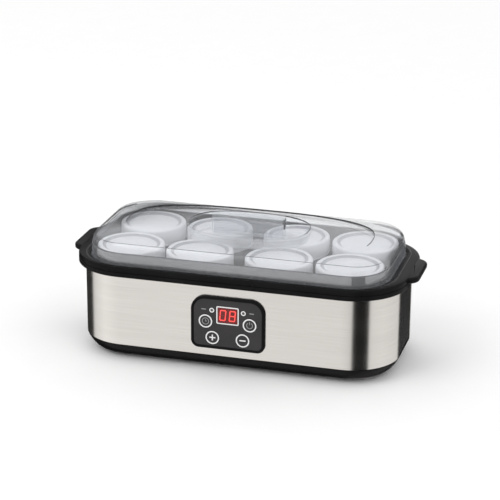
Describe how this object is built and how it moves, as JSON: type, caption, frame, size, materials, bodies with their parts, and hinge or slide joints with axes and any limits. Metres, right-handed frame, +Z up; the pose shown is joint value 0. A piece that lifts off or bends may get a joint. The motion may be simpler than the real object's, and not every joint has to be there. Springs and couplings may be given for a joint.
{
  "type": "yogurt maker",
  "caption": "Long rounded warming base with a brushed steel front, a digital panel and grip ears, holding lidded glass jars under a clear cover with a recessed grip.",
  "frame": {"origin": "centre of the bounding box's bottom face, on the surface the feet stand on", "axes": "+X along the length, to the right seen from the front; +Y to the rear; +Z up; the control panel faces -Y"},
  "size_m": [0.36, 0.1634, 0.1448],
  "materials": {
    "black_gloss": "glossy black plastic",
    "black_matte": "matte black plastic",
    "brushed_steel": "brushed along the length",
    "aluminium": "plain",
    "plated_steel": "zinc plated",
    "board_green": "printed circuit board",
    "overlay_grey": "satin dark grey film",
    "display_red": "dark red window",
    "white_plastic": "white plastic",
    "rubber": "soft black rubber",
    "jar_glass": "clear glass",
    "lid_clear": "clear plastic"
  },
  "bodies": {
    "base": {"base_housing": "black_gloss", "base_plate": "black_matte", "steel_front_panel": "brushed_steel", "steel_rear_panel": "brushed_steel", "top_rim": "black_gloss", "inner_tub": "black_matte", "heater_plate": "aluminium", "heating_element": "plated_steel", "temperature_sensor": "plated_steel", "sensor_clip": "aluminium", "thermal_fuse": "white_plastic", "power_board": "board_green", "board_screw_1": "plated_steel", "board_screw_2": "plated_steel", "relay": "black_matte", "transformer": "plated_steel", "control_bezel": "black_gloss", "control_overlay": "overlay_grey", "display_window": "display_red", "display_module": "black_matte", "control_board": "board_green", "led_left": "white_plastic", "led_right": "white_plastic", "switch_timer": "white_plastic", "switch_power": "white_plastic", "switch_plus": "white_plastic", "switch_minus": "white_plastic", "cord_gland": "rubber", "foot_1": "rubber", "foot_2": "rubber", "foot_3": "rubber", "foot_4": "rubber", "base_screw_1": "plated_steel", "base_screw_2": "plated_steel", "base_screw_3": "plated_steel", "base_screw_4": "plated_steel"},
    "lid": {"lid": "lid_clear"},
    "key_timer": {"key_timer": "overlay_grey"},
    "key_power": {"key_power": "overlay_grey"},
    "key_plus": {"key_plus": "overlay_grey"},
    "key_minus": {"key_minus": "overlay_grey"},
    "jar_1": {"jar_1": "jar_glass"},
    "jar_lid_1": {"jar_lid_1": "white_plastic"},
    "jar_2": {"jar_2": "jar_glass"},
    "jar_lid_2": {"jar_lid_2": "white_plastic"},
    "jar_3": {"jar_3": "jar_glass"},
    "jar_lid_3": {"jar_lid_3": "white_plastic"},
    "jar_4": {"jar_4": "jar_glass"},
    "jar_lid_4": {"jar_lid_4": "white_plastic"},
    "jar_5": {"jar_5": "jar_glass"},
    "jar_lid_5": {"jar_lid_5": "white_plastic"},
    "jar_6": {"jar_6": "jar_glass"},
    "jar_lid_6": {"jar_lid_6": "white_plastic"},
    "jar_7": {"jar_7": "jar_glass"},
    "jar_lid_7": {"jar_lid_7": "white_plastic"},
    "jar_8": {"jar_8": "jar_glass"},
    "jar_lid_8": {"jar_lid_8": "white_plastic"}
  },
  "joints": [
    {"name": "lid_lift", "type": "slide", "parent": "base", "child": "lid", "axis": [0, 0, 1], "range_m": [0, 0.12]},
    {"name": "jar_1_lift", "type": "slide", "parent": "base", "child": "jar_1", "axis": [0, 0, 1], "range_m": [0, 0.004]},
    {"name": "jar_2_lift", "type": "slide", "parent": "base", "child": "jar_2", "axis": [0, 0, 1], "range_m": [0, 0.004]},
    {"name": "jar_3_lift", "type": "slide", "parent": "base", "child": "jar_3", "axis": [0, 0, 1], "range_m": [0, 0.004]},
    {"name": "jar_4_lift", "type": "slide", "parent": "base", "child": "jar_4", "axis": [0, 0, 1], "range_m": [0, 0.004]},
    {"name": "jar_5_lift", "type": "slide", "parent": "base", "child": "jar_5", "axis": [0, 0, 1], "range_m": [0, 0.004]},
    {"name": "jar_6_lift", "type": "slide", "parent": "base", "child": "jar_6", "axis": [0, 0, 1], "range_m": [0, 0.004]},
    {"name": "jar_7_lift", "type": "slide", "parent": "base", "child": "jar_7", "axis": [0, 0, 1], "range_m": [0, 0.004]},
    {"name": "jar_8_lift", "type": "slide", "parent": "base", "child": "jar_8", "axis": [0, 0, 1], "range_m": [0, 0.004]},
    {"name": "jar_lid_1_twist", "type": "hinge", "parent": "jar_1", "child": "jar_lid_1", "pos_m": [-0.1134, -0.0358, 0.0956], "axis": [0, 0, 1], "range_deg": [0, 90]},
    {"name": "jar_lid_2_twist", "type": "hinge", "parent": "jar_2", "child": "jar_lid_2", "pos_m": [-0.041, -0.0358, 0.0956], "axis": [0, 0, 1], "range_deg": [0, 90]},
    {"name": "jar_lid_3_twist", "type": "hinge", "parent": "jar_3", "child": "jar_lid_3", "pos_m": [0.041, -0.0358, 0.0956], "axis": [0, 0, 1], "range_deg": [0, 90]},
    {"name": "jar_lid_4_twist", "type": "hinge", "parent": "jar_4", "child": "jar_lid_4", "pos_m": [0.1134, -0.0358, 0.0956], "axis": [0, 0, 1], "range_deg": [0, 90]},
    {"name": "jar_lid_5_twist", "type": "hinge", "parent": "jar_5", "child": "jar_lid_5", "pos_m": [-0.1134, 0.0358, 0.0956], "axis": [0, 0, 1], "range_deg": [0, 90]},
    {"name": "jar_lid_6_twist", "type": "hinge", "parent": "jar_6", "child": "jar_lid_6", "pos_m": [-0.041, 0.0358, 0.0956], "axis": [0, 0, 1], "range_deg": [0, 90]},
    {"name": "jar_lid_7_twist", "type": "hinge", "parent": "jar_7", "child": "jar_lid_7", "pos_m": [0.041, 0.0358, 0.0956], "axis": [0, 0, 1], "range_deg": [0, 90]},
    {"name": "jar_lid_8_twist", "type": "hinge", "parent": "jar_8", "child": "jar_lid_8", "pos_m": [0.1134, 0.0358, 0.0956], "axis": [0, 0, 1], "range_deg": [0, 90]},
    {"name": "key_timer_press", "type": "slide", "parent": "base", "child": "key_timer", "axis": [0, 1, 0], "range_m": [0, 0.0006], "stiffness_N_per_m": 300},
    {"name": "key_power_press", "type": "slide", "parent": "base", "child": "key_power", "axis": [0, 1, 0], "range_m": [0, 0.0006], "stiffness_N_per_m": 300},
    {"name": "key_plus_press", "type": "slide", "parent": "base", "child": "key_plus", "axis": [0, 1, 0], "range_m": [0, 0.0006], "stiffness_N_per_m": 300},
    {"name": "key_minus_press", "type": "slide", "parent": "base", "child": "key_minus", "axis": [0, 1, 0], "range_m": [0, 0.0006], "stiffness_N_per_m": 300}
  ]
}
